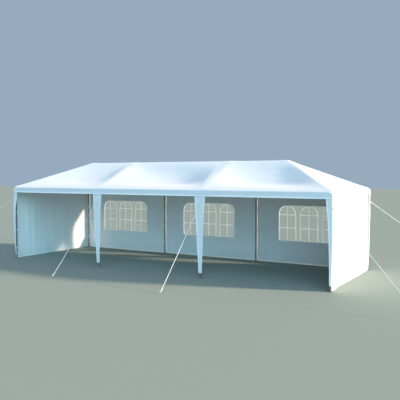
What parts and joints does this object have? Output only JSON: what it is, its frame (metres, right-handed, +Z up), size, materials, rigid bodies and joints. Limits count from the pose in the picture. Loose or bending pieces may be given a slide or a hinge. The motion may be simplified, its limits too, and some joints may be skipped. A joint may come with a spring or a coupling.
{
  "type": "party tent, three bays long, with a hipped canopy, side walls and guy ropes",
  "caption": "Rectangular white event tent: steel tube frame, hipped canopy with valance, windowed back walls, closed ends, open front, leg covers and guy ropes.",
  "frame": {"origin": "centre of the plan, on the ground", "axes": "+X along the long side, +Y from the open front to the back wall, +Z up"},
  "size_m": [13.0722, 6.7406, 2.69],
  "materials": {
    "frame_steel": "satin grey coated steel tube",
    "white_fabric": "woven and coated white sheet with a soft sheen",
    "clear_film": "clear flexible film",
    "rope": "white braided rope"
  },
  "bodies": {
    "root": {"leg_front_left": "frame_steel", "leg_front_mid_left": "frame_steel", "leg_front_mid_right": "frame_steel", "leg_front_right": "frame_steel", "leg_back_left": "frame_steel", "leg_back_mid_left": "frame_steel", "leg_back_mid_right": "frame_steel", "leg_back_right": "frame_steel", "eave_rail_front_left": "frame_steel", "eave_rail_front_middle": "frame_steel", "eave_rail_front_right": "frame_steel", "eave_rail_back_left": "frame_steel", "eave_rail_back_middle": "frame_steel", "eave_rail_back_right": "frame_steel", "eave_rail_left_end": "frame_steel", "eave_rail_right_end": "frame_steel", "rafter_front_left": "frame_steel", "hip_rafter_front_left": "frame_steel", "rafter_front_right": "frame_steel", "hip_rafter_front_right": "frame_steel", "rafter_back_left": "frame_steel", "hip_rafter_back_left": "frame_steel", "rafter_back_right": "frame_steel", "hip_rafter_back_right": "frame_steel", "ridge_tube_left": "frame_steel", "ridge_tube_middle": "frame_steel", "ridge_tube_right": "frame_steel", "ridge_connector_left_end": "frame_steel", "ridge_connector_left": "frame_steel", "ridge_connector_right": "frame_steel", "ridge_connector_right_end": "frame_steel", "canopy": "white_fabric", "left_end_wall": "white_fabric", "right_end_wall": "white_fabric", "back_wall_left": "white_fabric", "back_wall_middle": "white_fabric", "back_wall_right": "white_fabric", "window_left": "clear_film", "window_middle": "clear_film", "window_right": "clear_film", "leg_cover_front_left": "white_fabric", "leg_cover_front_mid_left": "white_fabric", "leg_cover_front_mid_right": "white_fabric", "leg_cover_front_right": "white_fabric", "leg_cover_back_left": "white_fabric", "leg_cover_back_mid_left": "white_fabric", "leg_cover_back_mid_right": "white_fabric", "leg_cover_back_right": "white_fabric", "guy_rope_front_left": "rope", "guy_rope_front_mid_left": "rope", "guy_rope_front_mid_right": "rope", "guy_rope_front_right": "rope", "guy_rope_back_left": "rope", "guy_rope_back_mid_left": "rope", "guy_rope_back_mid_right": "rope", "guy_rope_back_right": "rope"}
  },
  "joints": []
}
